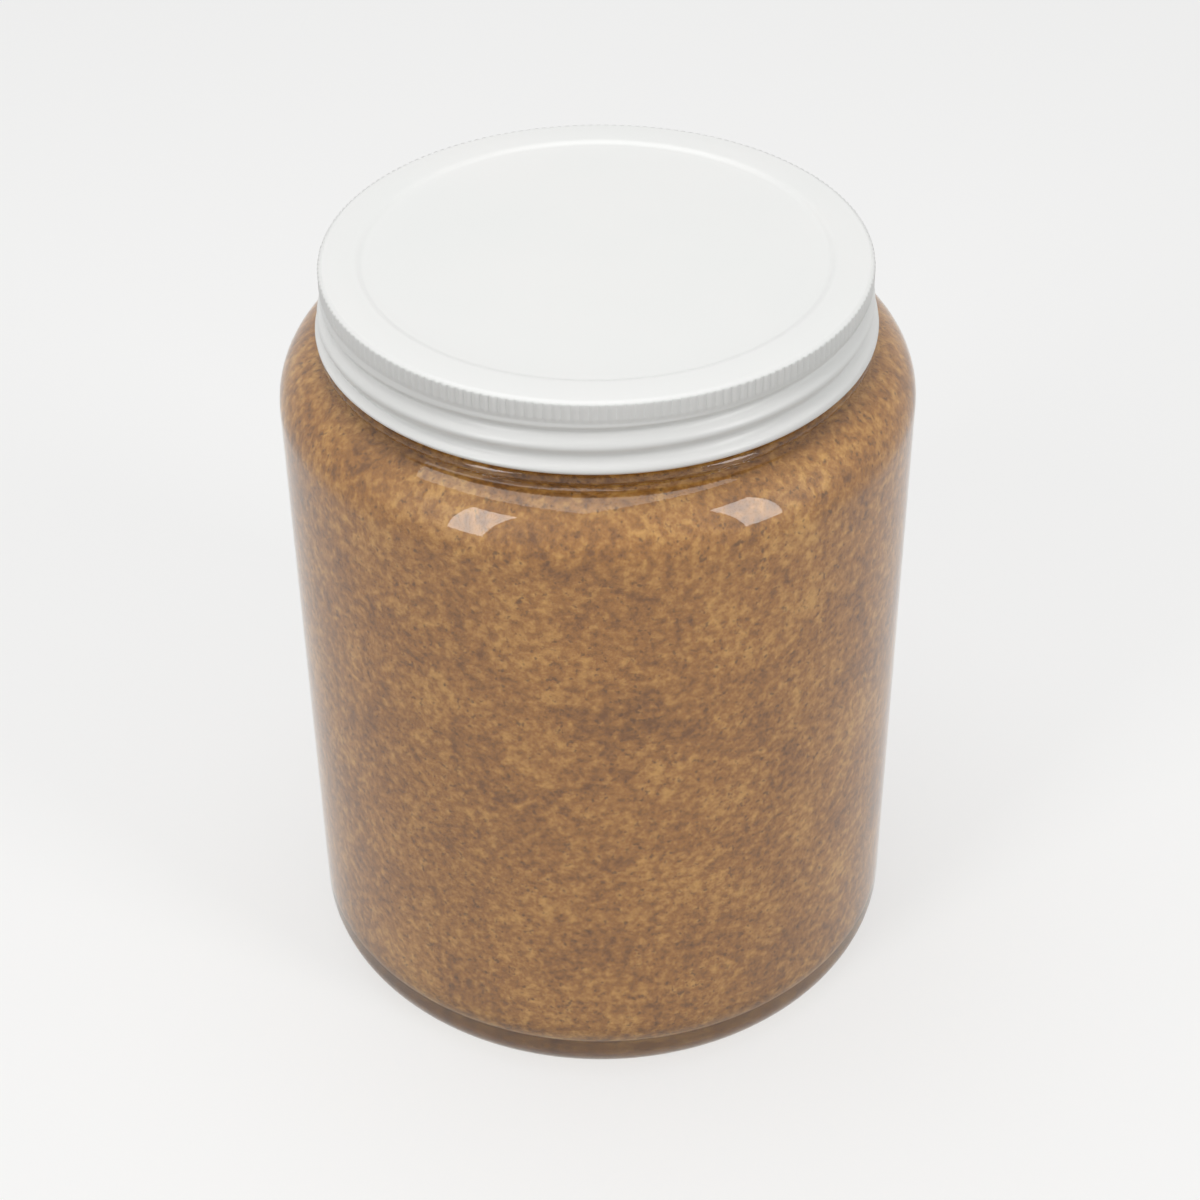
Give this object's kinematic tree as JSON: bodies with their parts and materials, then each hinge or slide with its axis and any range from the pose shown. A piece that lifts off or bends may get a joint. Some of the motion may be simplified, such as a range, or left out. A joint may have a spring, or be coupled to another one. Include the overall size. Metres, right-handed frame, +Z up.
{
  "type": "jar of almond butter",
  "caption": "Wide-mouth half-gallon clear glass jar filled with brown almond butter, closed by a white enamelled steel screw lid with a ribbed edge and a rolled thread",
  "frame": {"origin": "centre of the jar's base, on the surface that it stands on", "axes": "+Z up through the lid, -Y the front"},
  "size_m": [0.133, 0.133, 0.1728],
  "materials": {
    "clear_glass": "clear soda-lime glass, fire polished",
    "almond_butter": null,
    "white_enamel": "white baked enamel on tinplate, semi-gloss"
  },
  "bodies": {
    "root": {"glass_jar": "clear_glass", "almond_butter": "almond_butter", "lid": "white_enamel"}
  },
  "joints": []
}
